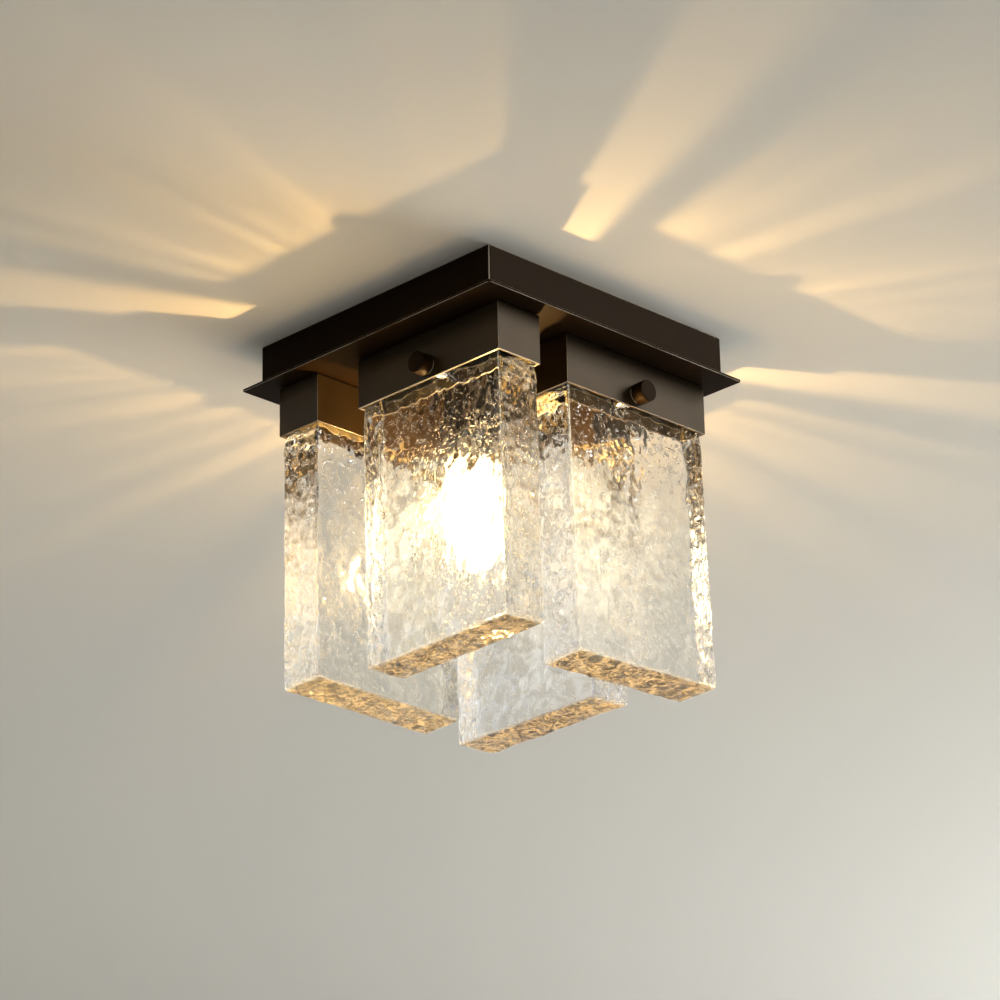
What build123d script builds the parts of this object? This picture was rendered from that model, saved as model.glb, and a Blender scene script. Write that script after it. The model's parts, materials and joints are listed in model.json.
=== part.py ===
from build123d import *
import math
import os

# Ceiling light with four cast glass blocks set round one bulb.
# Millimetres. z = 0 is the ceiling, +Z points up, and the plate's sides lie along X and Y.
# The four holders and blocks are one unit turned by quarter turns about Z.

# Plate under the canopy
plate_side = 200.0
plate_thickness = 1.5
plate_corner = 1.0
plate_edge = 0.3
plate_overhang = 7.5

# Canopy, a sheet pan open towards the ceiling
canopy_depth = 25.5
canopy_sheet = 1.0
canopy_corner = 1.5

# Glass holders, folded caps that open downwards
holder_width = 32.0
holder_depth = 30.0
holder_sheet = 1.2
holder_bend = 2.0
holder_seam = 0.4
holder_side_inset = 18.0
holder_end_inset = 12.0
holder_gap = 27.0

# Studs that hold the holders, the plate and the canopy together
stud_diameter = 4.0
stud_hole_clearance = 0.25
stud_end_inset = 18.5
stud_over_nut = 1.3
stud_nut_flats = 7.0
stud_nut_height = 3.2
thread_clearance = 0.05

# Cast glass blocks, each a little different in length
glass_side_gap = 0.8
glass_end_gap = 1.3
glass_drop = 152.0
glass_trim = {"left": 0.0, "front": 2.5, "right": -2.5, "rear": 0.0}
glass_corner = 3.0
glass_edge = 2.5
glass_top_edge = 0.8
pad_top = 2.0
pad_reach = 20.0
pad_edge = 0.5

# Knob screws that pass through a holder and its block
knob_diameter = 12.5
knob_length = 8.0
knob_chamfer = 0.6
knob_rise = 8.0
washer_diameter = 10.6
washer_thickness = 1.0
screw_diameter = 5.0
screw_clearance = 0.3
screw_over_nut = 1.0
clamp_nut_flats = 8.0
clamp_nut_height = 4.0
sleeve_wall = 1.6
sleeve_gap = 0.1

# Bracket on the ceiling, a cross of two flat arms
bracket_thickness = 2.0
bracket_arm_width = 24.0
bracket_arm_end = 10.0
bracket_corner = 4.0
bracket_wire_hole = 14.0
slot_spacing = 60.0
slot_width = 5.2
slot_length = 12.0
slot_to_end = 18.0
hanger_diameter = 4.0
hanger_below_ceiling = 0.3
hanger_reach = 5.0
cap_nut_diameter = 9.0
cap_nut_height = 9.0
cap_nut_to_holder = 3.5
cap_nut_dome = 3.0

# Lampholder on a threaded nipple, inside a cover cup
nipple_diameter = 10.0
nipple_bore = 7.6
nipple_over_nut = 1.2
nipple_nut_flats = 14.0
nipple_nut_height = 3.0
nipple_hole_clearance = 0.2
tooth_washer_diameter = 16.0
tooth_washer_thickness = 0.8
cup_diameter = 36.0
cup_wall = 1.0
cup_height = 36.0
cup_bend = 2.5
socket_diameter = 27.0
socket_wall = 2.0
socket_cap_height = 16.0
socket_cap_web = 5.0
socket_insert_thickness = 4.0
socket_skirt_height = 21.0
socket_lip_height = 1.6
socket_lip_gap = 1.2
socket_fit_gap = 0.2
socket_terminal_offset = 5.0
socket_terminal_side = 4.5
shell_wall = 0.6
shell_height = 15.0
contact_thickness = 0.5
contact_width = 4.0
contact_drop = 2.0

# Candle bulb on a small screw cap
bulb_cap_diameter = 13.8
bulb_cap_wall = 0.5
bulb_cap_height = 14.0
bulb_thread_gap = 0.3
bulb_tip_diameter = 5.0
bulb_tip_height = 1.0
bulb_insulator_height = 2.0
bulb_spigot_height = 8.0
bulb_collar_height = 13.0
bulb_collar_top = 15.0
bulb_neck_diameter = 23.0
bulb_diameter = 35.0
bulb_widest_below_neck = 24.0
bulb_globe_height = 65.0
bulb_nose_radius = 4.0
bulb_glass_wall = 1.0
light_source_diameter = 15.0
light_source_height = 9.0
light_source_dome = 3.0

# Terminal block on the canopy's floor, and the leads
block_length = 30.0
block_depth = 16.0
block_height = 13.0
block_edge = 1.0
block_from_axis = 34.0
block_pole_pitch = 10.0
block_wire_hole = 3.0
block_wire_height = 7.0
block_screw_diameter = 3.4
block_screw_depth = 3.0
lead_diameter = 2.1
lead_in_block = 4.0
lead_from_axis = 1.9
lead_arch_height = 14.5
lead_straight = 1.5
lead_inside_nipple = 0.5
lead_dip = 12.0
lead_run_in = 4.0
lead_draw_in = 3.0
lead_bends = [5.0, 5.0, 9.0, 8.0, 6.0]
earth_lead_step = 11.0
earth_lead_drop = 2.8
earth_lead_run_in = 6.0
earth_lead_bends = [16.0, 10.0, 9.0]
earth_screw_place = (-15.0, -7.0)
earth_screw_diameter = 4.0
earth_head_diameter = 7.5
earth_head_height = 2.4
earth_ring_diameter = 8.0
earth_ring_thickness = 0.8
earth_barrel_diameter = 3.4
earth_barrel_length = 6.0
earth_barrel_grip = 5.0

# Sizes worked out from those above
canopy_side = plate_side - 2 * plate_overhang
holder_length = plate_side - holder_end_inset - holder_side_inset - holder_width - holder_gap
holder_inner_width = holder_width - 2 * holder_sheet
glass_width = holder_inner_width - 2 * glass_side_gap
glass_length = holder_length - 2 * holder_sheet - 2 * glass_end_gap
stud_hole = stud_diameter + 2 * stud_hole_clearance
screw_hole = screw_diameter + 2 * screw_clearance
sleeve_diameter = screw_hole + 2 * sleeve_wall
glass_hole = sleeve_diameter + 2 * sleeve_gap
shell_bore = bulb_cap_diameter + 2 * bulb_thread_gap
shell_diameter = shell_bore + 2 * shell_wall

# Levels, from the ceiling down
floor_z = canopy_sheet - canopy_depth
plate_z = -canopy_depth - plate_thickness
mouth_z = plate_z - holder_depth
glass_top_z = plate_z - holder_sheet - pad_top
knob_z = mouth_z + knob_rise
tooth_washer_z = floor_z + tooth_washer_thickness
nipple_nut_z = tooth_washer_z + nipple_nut_height
socket_top_z = plate_z - cup_wall
nipple_end_z = socket_top_z - socket_cap_web
skirt_top_z = socket_top_z - socket_cap_height
insert_end_z = skirt_top_z - socket_insert_thickness
bulb_top_z = insert_end_z - contact_drop
bulb_cap_top_z = bulb_top_z - bulb_tip_height - bulb_insulator_height
collar_top_z = bulb_cap_top_z - bulb_cap_height
neck_z = collar_top_z - bulb_collar_height
terminal_top_z = skirt_top_z + socket_terminal_side
block_wire_z = floor_z + block_wire_height

# Places of the unit on the -X side, which the others repeat
holder_outer_x = -plate_side / 2 + holder_side_inset
holder_inner_x = holder_outer_x + holder_width
holder_x = (holder_outer_x + holder_inner_x) / 2
holder_y = -plate_side / 2 + holder_end_inset + holder_length / 2
stud_ys = (holder_y - holder_length / 2 + stud_end_inset, holder_y + holder_length / 2 - stud_end_inset)
hanger_y = -holder_inner_x - cap_nut_to_holder - cap_nut_diameter / 2
quarter_turns = {"left": 0, "front": 90, "right": 180, "rear": 270}


def rod_z(diameter, low, high, x=0.0, y=0.0):
    """Upright round bar between two levels."""
    return Pos(x, y, (low + high) / 2) * Cylinder(diameter / 2, high - low)


def rod_x(diameter, low, high, y, z):
    """Round bar along X between two places."""
    return Pos((low + high) / 2, y, z) * Rot(0, 90, 0) * Cylinder(diameter / 2, high - low)


def slab(width, length, low, high, x=0.0, y=0.0):
    """Box of a given width along X and length along Y, between two levels."""
    return Pos(x, y, (low + high) / 2) * Box(width, length, high - low)


def hex_nut(flats, height, bore):
    """Hexagon nut that stands on z = 0."""
    blank = extrude(RegularPolygon(flats / 2, 6, major_radius=False), height)
    return blank - rod_z(bore, -height, 2 * height)


def turned(shape, side):
    """The same shape in the unit on another side."""
    return Rot(0, 0, quarter_turns[side]) * shape


def round_units(shapes):
    """Copies of shapes for all four units."""
    return [turned(shape, side) for side in quarter_turns for shape in shapes]


def hanging_places():
    """Both places where the bracket's hangers pass through canopy and plate."""
    return [(0.0, hanger_y), (0.0, -hanger_y)]


def with_fixing_holes(sheet, low, high):
    """A sheet drilled for the holder studs, the hangers and the nipple."""
    studs = round_units([rod_z(stud_hole, low, high, holder_x, y) for y in stud_ys])
    hangers = [rod_z(hanger_diameter + 2 * stud_hole_clearance, low, high, x, y) for x, y in hanging_places()]
    nipple = rod_z(nipple_diameter + 2 * nipple_hole_clearance, low, high)
    return sheet - studs - hangers - nipple


def canopy_pan():
    outer = slab(canopy_side, canopy_side, -canopy_depth, 0)
    outer = fillet(outer.edges().filter_by(Axis.Z), canopy_corner)
    inner_side = canopy_side - 2 * canopy_sheet
    inner = slab(inner_side, inner_side, floor_z, canopy_sheet)
    inner = fillet(inner.edges().filter_by(Axis.Z), canopy_corner - canopy_sheet)
    return with_fixing_holes(outer - inner, -canopy_depth - canopy_sheet, floor_z + canopy_sheet)


def base_plate():
    sheet = slab(plate_side, plate_side, plate_z, -canopy_depth)
    sheet = fillet(sheet.edges().filter_by(Axis.Z), plate_corner)
    rims = sheet.faces().sort_by(Axis.Z)
    sheet = fillet(rims[0].edges() + rims[-1].edges(), plate_edge)
    return with_fixing_holes(sheet, plate_z - plate_thickness, -canopy_depth + plate_thickness)


def glass_holder():
    outer = slab(holder_width, holder_length, mouth_z, plate_z, holder_x, holder_y)
    outer = fillet(outer.faces().sort_by(Axis.Z)[-1].edges(), holder_bend)
    outer = fillet(outer.edges().filter_by(Axis.Z), holder_seam)
    inner_length = holder_length - 2 * holder_sheet
    inner_top = plate_z - holder_sheet
    inner = slab(holder_inner_width, inner_length, mouth_z - holder_sheet, inner_top, holder_x, holder_y)
    inner = fillet(inner.faces().sort_by(Axis.Z)[-1].edges(), holder_bend - holder_sheet)
    hole = rod_x(screw_hole, holder_outer_x - holder_sheet, holder_inner_x + holder_sheet, holder_y, knob_z)
    return outer - inner - hole


def holder_studs():
    top = floor_z + stud_nut_height + stud_over_nut
    return [rod_z(stud_diameter, plate_z, top, holder_x, y) for y in stud_ys]


def holder_nuts():
    nut = hex_nut(stud_nut_flats, stud_nut_height, stud_diameter + 2 * thread_clearance)
    return [Pos(holder_x, y, floor_z) * nut for y in stud_ys]


def glass_block(trim):
    bottom = mouth_z - glass_drop - trim
    block = slab(glass_width, glass_length, bottom, glass_top_z, holder_x, holder_y)
    block = fillet(block.edges().filter_by(Axis.Z), glass_corner)
    block = fillet(block.faces().sort_by(Axis.Z)[0].edges(), glass_edge)
    block = fillet(block.faces().sort_by(Axis.Z)[-1].edges(), glass_top_edge)
    return block - rod_x(glass_hole, holder_outer_x, holder_inner_x, holder_y, knob_z)


def glass_pad():
    """Silicone saddle over a block's head, filling the holder between its long walls."""
    length = glass_length - 2 * glass_corner
    top = plate_z - holder_sheet
    bottom = glass_top_z - pad_reach
    saddle = slab(holder_inner_width, length, bottom, top, holder_x, holder_y)
    crown = saddle.faces().sort_by(Axis.Z)[-1].edges().filter_by(Axis.Y)
    saddle = fillet(crown, holder_bend - holder_sheet + pad_edge)
    head = slab(glass_width, 2 * length, bottom - pad_top, glass_top_z, holder_x, holder_y)
    return saddle - head - rod_x(glass_hole, holder_outer_x, holder_inner_x, holder_y, knob_z)


def screw_sleeve():
    low = holder_x - glass_width / 2
    high = holder_x + glass_width / 2
    tube = rod_x(sleeve_diameter, low, high, holder_y, knob_z)
    return tube - rod_x(screw_hole, holder_outer_x, holder_inner_x, holder_y, knob_z)


def knob_screw():
    seat = holder_outer_x - washer_thickness
    head = rod_x(knob_diameter, seat - knob_length, seat, holder_y, knob_z)
    head = chamfer(head.edges(), knob_chamfer)
    tip = holder_inner_x + clamp_nut_height + screw_over_nut
    return head + rod_x(screw_diameter, seat - knob_length / 2, tip, holder_y, knob_z)


def knob_washer():
    low = holder_outer_x - washer_thickness
    disc = rod_x(washer_diameter, low, holder_outer_x, holder_y, knob_z)
    return disc - rod_x(screw_hole, low - washer_thickness, holder_inner_x, holder_y, knob_z)


def clamp_nut():
    nut = hex_nut(clamp_nut_flats, clamp_nut_height, screw_diameter + 2 * thread_clearance)
    return Pos(holder_inner_x, holder_y, knob_z) * Rot(0, 90, 0) * nut


def bracket():
    half_slots = slot_spacing / 2 + slot_to_end
    half_hangers = hanger_y + bracket_arm_end
    arms = [
        extrude(RectangleRounded(2 * half_slots, bracket_arm_width, bracket_corner), -bracket_thickness),
        extrude(RectangleRounded(bracket_arm_width, 2 * half_hangers, bracket_corner), -bracket_thickness),
    ]
    cross = arms[0] + arms[1]
    slot = extrude(SlotOverall(slot_length, slot_width), bracket_thickness, both=True)
    cross = cross - [Pos(x, 0, 0) * slot for x in (-slot_spacing / 2, slot_spacing / 2)]
    tapped = hanger_diameter + 2 * thread_clearance
    drills = [rod_z(tapped, -2 * bracket_thickness, bracket_thickness, x, y) for x, y in hanging_places()]
    earth_hole = earth_screw_diameter + 2 * thread_clearance
    drills.append(rod_z(earth_hole, -2 * bracket_thickness, bracket_thickness, *earth_screw_place))
    drills.append(rod_z(bracket_wire_hole, -2 * bracket_thickness, bracket_thickness))
    return cross - drills


def hanger_studs():
    low = plate_z - hanger_reach
    return [rod_z(hanger_diameter, low, -hanger_below_ceiling, x, y) for x, y in hanging_places()]


def hanger_nuts():
    nut = hex_nut(stud_nut_flats, stud_nut_height, hanger_diameter + 2 * thread_clearance)
    seat = -bracket_thickness - stud_nut_height
    return [Pos(x, y, seat) * nut for x, y in hanging_places()]


def cap_nuts():
    nuts = []
    for x, y in hanging_places():
        body = rod_z(cap_nut_diameter, plate_z - cap_nut_height, plate_z, x, y)
        body = fillet(body.faces().sort_by(Axis.Z)[0].edges(), cap_nut_dome)
        thread = hanger_diameter + 2 * thread_clearance
        nuts.append(body - rod_z(thread, plate_z - hanger_reach - stud_over_nut, plate_z, x, y))
    return nuts


def lamp_cup():
    bore = nipple_diameter + 2 * nipple_hole_clearance
    outer = rod_z(cup_diameter, plate_z - cup_height, plate_z)
    outer = fillet(outer.faces().sort_by(Axis.Z)[-1].edges(), cup_bend)
    inner = rod_z(cup_diameter - 2 * cup_wall, plate_z - cup_height - cup_wall, plate_z - cup_wall)
    inner = fillet(inner.faces().sort_by(Axis.Z)[-1].edges(), cup_bend - cup_wall)
    return outer - inner - rod_z(bore, plate_z - 2 * cup_wall, plate_z + cup_wall)


def lamp_nipple():
    top = nipple_nut_z + nipple_over_nut
    return rod_z(nipple_diameter, nipple_end_z, top) - rod_z(nipple_bore, nipple_end_z, top)


def tooth_washer():
    disc = rod_z(tooth_washer_diameter, floor_z, tooth_washer_z)
    hole = nipple_diameter + 2 * nipple_hole_clearance
    return disc - rod_z(hole, floor_z - canopy_sheet, nipple_nut_z)


def nipple_nut():
    nut = hex_nut(nipple_nut_flats, nipple_nut_height, nipple_diameter + 2 * thread_clearance)
    return Pos(0, 0, tooth_washer_z) * nut


def socket_cap():
    body = rod_z(socket_diameter, skirt_top_z, socket_top_z)
    room = rod_z(socket_diameter - 2 * socket_wall, skirt_top_z, nipple_end_z)
    return body - room - rod_z(nipple_diameter + 2 * thread_clearance, nipple_end_z, socket_top_z)


def socket_skirt():
    low = skirt_top_z - socket_skirt_height
    body = rod_z(socket_diameter, low, skirt_top_z)
    room = rod_z(socket_diameter - 2 * socket_wall, low + socket_lip_height, skirt_top_z)
    return body - room - rod_z(shell_diameter + 2 * socket_lip_gap, low, skirt_top_z)


def socket_insert():
    fit = socket_diameter - 2 * socket_wall - 2 * socket_fit_gap
    return rod_z(fit, insert_end_z, skirt_top_z)


def socket_terminals():
    side = socket_terminal_side
    places = (socket_terminal_offset, -socket_terminal_offset)
    return [slab(side, side, skirt_top_z, terminal_top_z, 0, y) for y in places]


def socket_shell():
    low = insert_end_z - shell_height
    return rod_z(shell_diameter, low, insert_end_z) - rod_z(shell_bore, low, insert_end_z)


def socket_contact():
    """Bent tongue: a foot on the insert, a web down and a pad that meets the bulb's tip."""
    reach = shell_bore / 2 - bulb_thread_gap - contact_thickness
    foot_high = insert_end_z - contact_thickness
    pad_high = bulb_top_z + contact_thickness
    foot = Pos(reach / 2, 0, (foot_high + insert_end_z) / 2) * Box(reach, contact_width, contact_thickness)
    pad = Pos(reach / 2, 0, (pad_high + bulb_top_z) / 2) * Box(reach, contact_width, contact_thickness)
    web_x = reach - contact_thickness / 2
    web = slab(contact_thickness, contact_width, bulb_top_z, insert_end_z, web_x, 0)
    return foot + web + pad


def bulb_cap():
    low = collar_top_z
    bore = bulb_cap_diameter - 2 * bulb_cap_wall
    shell = rod_z(bulb_cap_diameter, low, bulb_cap_top_z) - rod_z(bore, low, bulb_cap_top_z - bulb_cap_wall)
    return shell


def bulb_insulator():
    top = bulb_tip_diameter / 2
    low = bulb_cap_diameter / 2 - bulb_cap_wall
    middle = bulb_cap_top_z + bulb_insulator_height / 2
    return Pos(0, 0, middle) * Cone(low, top, bulb_insulator_height)


def bulb_tip():
    return rod_z(bulb_tip_diameter, bulb_top_z - bulb_tip_height, bulb_top_z)


def bulb_collar():
    """Flared collar with a spigot that stands inside the screw cap."""
    flare = Pos(0, 0, (neck_z + collar_top_z) / 2) * Cone(
        bulb_neck_diameter / 2, bulb_collar_top / 2, bulb_collar_height
    )
    spigot_diameter = bulb_cap_diameter - 2 * bulb_cap_wall - 2 * bulb_thread_gap
    return flare + rod_z(spigot_diameter, collar_top_z, collar_top_z + bulb_spigot_height)


def candle_body(skin):
    """Candle shape as a body of revolution, with its surface moved in by skin."""
    widest_z = neck_z - bulb_widest_below_neck
    nose_z = neck_z - bulb_globe_height + bulb_nose_radius
    neck = bulb_neck_diameter / 2
    wide = bulb_diameter / 2
    step = wide - neck
    upper_radius = (step**2 + bulb_widest_below_neck**2) / (2 * step)
    drop = widest_z - nose_z
    lower_radius = (wide**2 + drop**2 - bulb_nose_radius**2) / (2 * (wide - bulb_nose_radius))

    def on_upper(angle):
        radius = upper_radius - skin
        return (wide - upper_radius + radius * math.cos(angle), 0, widest_z + radius * math.sin(angle))

    def on_lower(angle):
        radius = lower_radius - skin
        return (wide - lower_radius + radius * math.cos(angle), 0, widest_z - radius * math.sin(angle))

    def on_nose(angle):
        radius = bulb_nose_radius - skin
        return (radius * math.cos(angle), 0, nose_z - radius * math.sin(angle))

    neck_angle = math.asin(bulb_widest_below_neck / (upper_radius - skin))
    nose_angle = math.asin(drop / (lower_radius - bulb_nose_radius))
    mid_nose = (nose_angle + math.pi / 2) / 2
    lines = [
        Line((0, 0, neck_z), on_upper(neck_angle)),
        ThreePointArc(on_upper(neck_angle), on_upper(neck_angle / 2), on_upper(0)),
        ThreePointArc(on_lower(0), on_lower(nose_angle / 2), on_lower(nose_angle)),
        ThreePointArc(on_nose(nose_angle), on_nose(mid_nose), on_nose(math.pi / 2)),
        Line(on_nose(math.pi / 2), (0, 0, neck_z)),
    ]
    return revolve(make_face(lines), Axis.Z)


def bulb_globe():
    return candle_body(0.0) - candle_body(bulb_glass_wall)


def light_source():
    post = rod_z(light_source_diameter, neck_z - light_source_height, neck_z)
    return fillet(post.faces().sort_by(Axis.Z)[0].edges(), light_source_dome)


def pole_ys():
    """Places of the terminal block's three poles: live, earth and neutral."""
    return (block_pole_pitch, 0.0, -block_pole_pitch)


def terminal_block():
    middle = block_from_axis + block_depth / 2
    top = floor_z + block_height
    body = slab(block_depth, block_length, floor_z, top, middle, 0)
    body = fillet(body.faces().sort_by(Axis.Z)[-1].edges(), block_edge)
    far = block_from_axis + block_depth
    wires = [rod_x(block_wire_hole, block_from_axis, far, y, block_wire_z) for y in pole_ys()]
    wells = [rod_z(block_screw_diameter, top - block_screw_depth, top, middle, y) for y in pole_ys()]
    return body - wires - wells


def terminal_screws():
    middle = block_from_axis + block_depth / 2
    bottom = floor_z + block_height - block_screw_depth
    diameter = block_screw_diameter - 2 * thread_clearance
    high = bottom + block_screw_depth / 2
    return [rod_z(diameter, bottom, high, middle, y) for y in pole_ys()]


def lead(points, radii):
    """Insulated wire along straight runs with rounded corners."""
    path = FilletPolyline(*points, radius=radii)
    start = Plane(origin=path @ 0, z_dir=path % 0)
    wire = sweep(start * Circle(lead_diameter / 2), path=path)
    plain = math.pi * (lead_diameter / 2) ** 2 * path.length
    print("lead", round(path.length, 1), "mm long, volume against section", round(wire.volume / plain, 4))
    return wire


def lamp_lead(side):
    """Lead from a socket terminal up through the nipple and over to its pole."""
    arch_z = floor_z + lead_arch_height
    end_x = block_from_axis + lead_in_block
    terminal_y = side * socket_terminal_offset
    pole_y = side * block_pole_pitch
    points = [
        (0, terminal_y, terminal_top_z),
        (0, terminal_y, terminal_top_z + lead_straight),
        (0, side * lead_from_axis, nipple_end_z + lead_inside_nipple),
        (0, side * lead_from_axis, arch_z),
        (block_from_axis - lead_dip, pole_y - side * lead_draw_in, arch_z),
        (block_from_axis - lead_run_in, pole_y, block_wire_z),
        (end_x, pole_y, block_wire_z),
    ]
    return lead(points, lead_bends)


def earth_barrel_z():
    """Level of the earth lead where it leaves its ring terminal."""
    return -bracket_thickness - earth_barrel_diameter / 2


def earth_lead():
    x, y = earth_screw_place
    start_x = x + earth_ring_diameter / 2 + earth_barrel_length - earth_barrel_grip
    barrel_x = start_x + earth_barrel_grip
    points = [
        (start_x, y, earth_barrel_z()),
        (barrel_x + earth_lead_step, y, earth_barrel_z()),
        (barrel_x + 2 * earth_lead_step, 0, earth_barrel_z() - earth_lead_drop),
        (block_from_axis - earth_lead_run_in, 0, block_wire_z),
        (block_from_axis + lead_in_block, 0, block_wire_z),
    ]
    return lead(points, earth_lead_bends)


def earth_ring():
    """Ring terminal: a flat eye under the earth screw and a barrel for the lead."""
    x, y = earth_screw_place
    low = -bracket_thickness - earth_ring_thickness
    eye = rod_z(earth_ring_diameter, low, -bracket_thickness, x, y)
    start = x + earth_ring_diameter / 2
    neck = slab(earth_ring_diameter / 2, earth_barrel_diameter, low, -bracket_thickness, start, y)
    barrel = rod_x(earth_barrel_diameter, start, start + earth_barrel_length, y, earth_barrel_z())
    crimp = lead_diameter + 2 * thread_clearance
    bore = rod_x(crimp, start, start + earth_barrel_length, y, earth_barrel_z())
    hole = rod_z(earth_screw_diameter + 2 * stud_hole_clearance, 2 * low, 0, x, y)
    return eye + neck + barrel - bore - hole


def earth_screw():
    x, y = earth_screw_place
    seat = -bracket_thickness - earth_ring_thickness
    head = rod_z(earth_head_diameter, seat - earth_head_height, seat, x, y)
    return head + rod_z(earth_screw_diameter, seat, -hanger_below_ceiling, x, y)


def write(name, shapes):
    """One file for each node: a single solid, or a group of separate ones."""
    whole = Compound(children=shapes) if isinstance(shapes, list) else shapes
    export_step(whole, f"parts/{name}.step")


os.makedirs("parts", exist_ok=True)

for side in quarter_turns:
    write(f"glass_holder_{side}", turned(glass_holder(), side))
    write(f"glass_block_{side}", turned(glass_block(glass_trim[side]), side))
    write(f"glass_pad_{side}", turned(glass_pad(), side))
    write(f"knob_screw_{side}", turned(knob_screw(), side))
    write(f"knob_washer_{side}", turned(knob_washer(), side))

write("screw_sleeves", round_units([screw_sleeve()]))
write("clamp_nuts", round_units([clamp_nut()]))
write("holder_studs", round_units(holder_studs()))
write("holder_nuts", round_units(holder_nuts()))

write("canopy_pan", canopy_pan())
write("base_plate", base_plate())
write("bracket", bracket())
write("hanger_studs", hanger_studs())
write("hanger_nuts", hanger_nuts())
write("cap_nuts", cap_nuts())

write("lamp_cup", lamp_cup())
write("lamp_nipple", lamp_nipple())
write("tooth_washer", tooth_washer())
write("nipple_nut", nipple_nut())
write("socket_cap", socket_cap())
write("socket_skirt", socket_skirt())
write("socket_insert", socket_insert())
write("socket_terminals", socket_terminals())
write("socket_shell", socket_shell())
write("socket_contact", socket_contact())

write("bulb_cap", bulb_cap())
write("bulb_insulator", bulb_insulator())
write("bulb_tip", bulb_tip())
write("bulb_collar", bulb_collar())
write("bulb_globe", bulb_globe())
write("light_source", light_source())

write("terminal_block", terminal_block())
write("terminal_screws", terminal_screws())
write("live_lead", lamp_lead(1))
write("neutral_lead", lamp_lead(-1))
write("earth_lead", earth_lead())
write("earth_ring", earth_ring())
write("earth_screw", earth_screw())
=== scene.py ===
"""Looks of a ceiling light with four cast glass blocks, laid out as a Blender add-on.

Metres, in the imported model's own frame: z = 0 is the ceiling, and the light hangs towards -Z.
"""
import json
import math
import random

import bmesh
import bpy
from bpy.props import FloatProperty
from bpy.props import FloatVectorProperty
from bpy.props import IntProperty
from bpy.props import PointerProperty
from mathutils import Matrix
from mathutils import Vector
from mathutils import noise

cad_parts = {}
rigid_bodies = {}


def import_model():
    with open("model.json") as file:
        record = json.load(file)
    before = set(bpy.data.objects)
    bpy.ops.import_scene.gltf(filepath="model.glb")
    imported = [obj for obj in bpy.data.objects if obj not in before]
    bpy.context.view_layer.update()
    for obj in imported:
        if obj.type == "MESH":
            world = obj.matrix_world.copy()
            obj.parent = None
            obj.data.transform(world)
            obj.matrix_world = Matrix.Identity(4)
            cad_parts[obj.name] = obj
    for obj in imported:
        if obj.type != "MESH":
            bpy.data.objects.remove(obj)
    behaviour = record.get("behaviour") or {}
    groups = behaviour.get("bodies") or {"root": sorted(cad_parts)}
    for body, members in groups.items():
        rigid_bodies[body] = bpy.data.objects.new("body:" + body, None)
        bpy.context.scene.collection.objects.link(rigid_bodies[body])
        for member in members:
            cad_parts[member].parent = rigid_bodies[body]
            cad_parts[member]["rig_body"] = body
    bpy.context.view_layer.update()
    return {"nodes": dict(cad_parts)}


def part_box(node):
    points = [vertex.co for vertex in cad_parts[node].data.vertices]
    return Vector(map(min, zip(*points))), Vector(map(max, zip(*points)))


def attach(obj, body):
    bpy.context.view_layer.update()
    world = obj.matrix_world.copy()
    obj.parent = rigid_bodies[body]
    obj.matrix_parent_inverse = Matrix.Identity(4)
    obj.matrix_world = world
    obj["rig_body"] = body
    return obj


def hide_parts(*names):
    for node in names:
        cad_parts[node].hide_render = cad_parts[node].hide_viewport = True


bl_info = {
    "name": "Ceiling light with four glass blocks",
    "version": (1, 0, 0),
    "blender": (4, 5, 0),
    "location": "3D View > Sidebar > Ceiling Light",
    "description": "Dresses a packed ceiling light with its glass, metal, bulb and studio stage",
    "category": "Add Mesh",
}

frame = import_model()
node_slots = {name: piece.data.materials[0].name.split(".")[0] for name, piece in frame["nodes"].items()}

MM = 0.001
SIDES = ("left", "front", "right", "rear")

# How each block leans below its holder, in millimetres at its foot along X and Y, and how far
# its foot slopes along X and Y, in millimetres for each millimetre.
GLASS_LEAN = {
    "left": (1.1, -1.2, -0.04, 0.023),
    "front": (2.3, -2.3, -0.029, 0.04),
    "right": (0.8, -0.9, -0.04, 0.014),
    "rear": (-0.1, -0.2, 0.011, 0.04),
}

# Each block's noise starts this far from the one before, so that no two blocks are alike.
NOISE_STEP = Vector((11.3, 4.7, 7.9))
# Start of the random draws of the air seeds, their least distance from the block's box, and the
# smallest seed as a share of the largest
SEED_DRAW = 31
SEED_MARGIN = Vector((4.5 * MM, 4.5 * MM, 6 * MM))
SEED_LEAST = 0.25
# Height below the holder's mouth over which the waves in the skin grow to their full depth
MOUTH_FADE = 6 * MM
# Radius of the cross hole for a knob's screw and its sleeve
CROSS_HOLE = 4.5 * MM
# A face whose normal has more than this along an axis lies across that axis.
LIES_ACROSS = 0.9
# Ripples are longer upright than across, in the ratio of 1 to this.
RIPPLE_UPRIGHT = 0.7
# How much weaker each layer of finer ripples is, how much finer, and how many layers there are
RIPPLE_FALL = 0.75
RIPPLE_STEP = 2.0
RIPPLE_LAYERS = 3
# Share of the ripples that the ends keep, and share of the lamp light that passes through them
END_RIPPLE = 0.4
END_LIGHT = 0.08
# Middle of the dimple pattern, taken off so that dimples lie about the skin
DIMPLE_MIDDLE = 0.45

GLASS_IOR = 1.47
# The mirror image on the glass is weak, so that the dark upper part of the glass stays deep.
GLASS_MIRROR = (0.1, 0.1, 0.1, 1.0)
# Heights, from the top: the clear upper part of a block ends, its haze is whole, the haze starts to
# thicken, and it is at its thickest.
CLEAR_END = -82 * MM
HAZY_START = -118 * MM
HAZE_THIN = -120 * MM
HAZE_THICK = -190 * MM
# Share of haze in the skin: where it is thin and where it is thick, on the foot, and along the edges
THIN_HAZE = 0.11
THICK_HAZE = 0.19
FOOT_HAZE = 0.55
EDGE_HAZE = 0.26
# Share of the haze's light that is thrown back and not let through
HAZE_BACK = 0.4
# Share of the clear glass that scatters light softly on the broad faces
SOFT_SHARE = 0.014

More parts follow.
